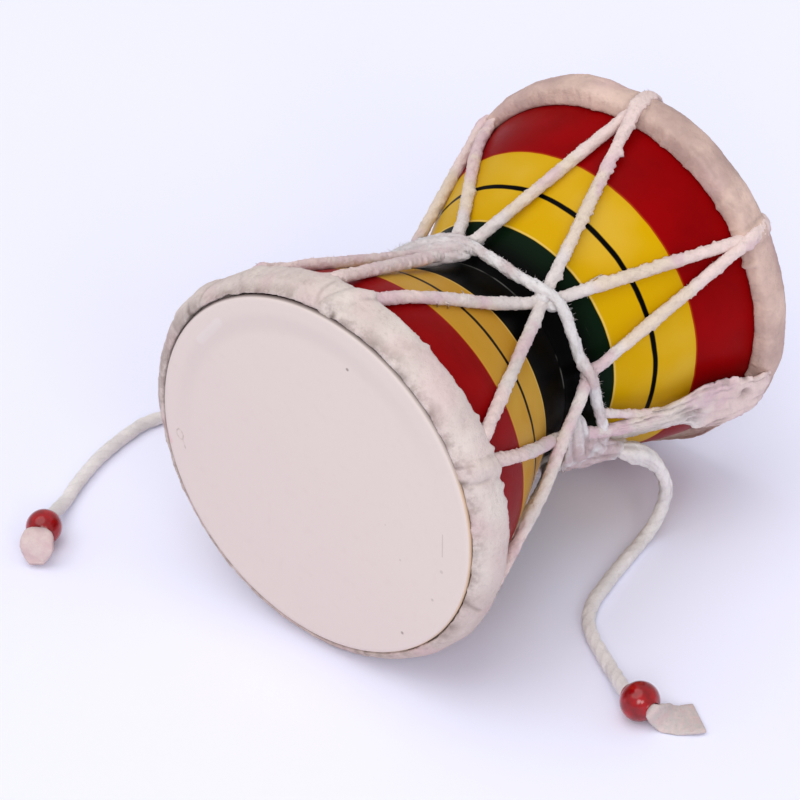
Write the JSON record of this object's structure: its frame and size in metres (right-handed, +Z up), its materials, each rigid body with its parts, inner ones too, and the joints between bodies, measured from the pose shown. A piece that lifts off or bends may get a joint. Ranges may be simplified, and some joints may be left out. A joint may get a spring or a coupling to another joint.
{
  "type": "hourglass hand drum",
  "caption": "Hourglass hand drum with hide heads on wrapped hoops, zigzag cord lacing drawn in at the waist, and beaded cord strikers.",
  "frame": {"origin": "on the floor under the middle of the drum's own box, strikers left out, with the drum lying on its side on the flats of its hoops", "axes": "+Z up; Y along the drum's axis, front head at -Y and back head at +Y; +X to the side where the shorter striker leaves the waist"},
  "size_m": [0.1798, 0.142, 0.1003],
  "materials": {
    "lacquered_wood": "gloss lacquer, turned, painted in red, yellow and black bands",
    "hide": "matte rawhide",
    "hide_band": "matte rawhide, folded, stained pink in places",
    "cord": "matte rough cord, off-white",
    "bead_lacquer": "gloss red lacquer"
  },
  "bodies": {
    "root": {"shell": "lacquered_wood", "head_skin_front": "hide", "head_skin_back": "hide", "hoop_front": "hide_band", "hoop_back": "hide_band", "lacing": "cord", "waist_cord": "cord", "striker_cord_right": "cord", "striker_cord_left": "cord", "striker_bead_right": "bead_lacquer", "striker_bead_left": "bead_lacquer", "striker_tip_right": "hide", "striker_tip_left": "hide"}
  },
  "joints": []
}
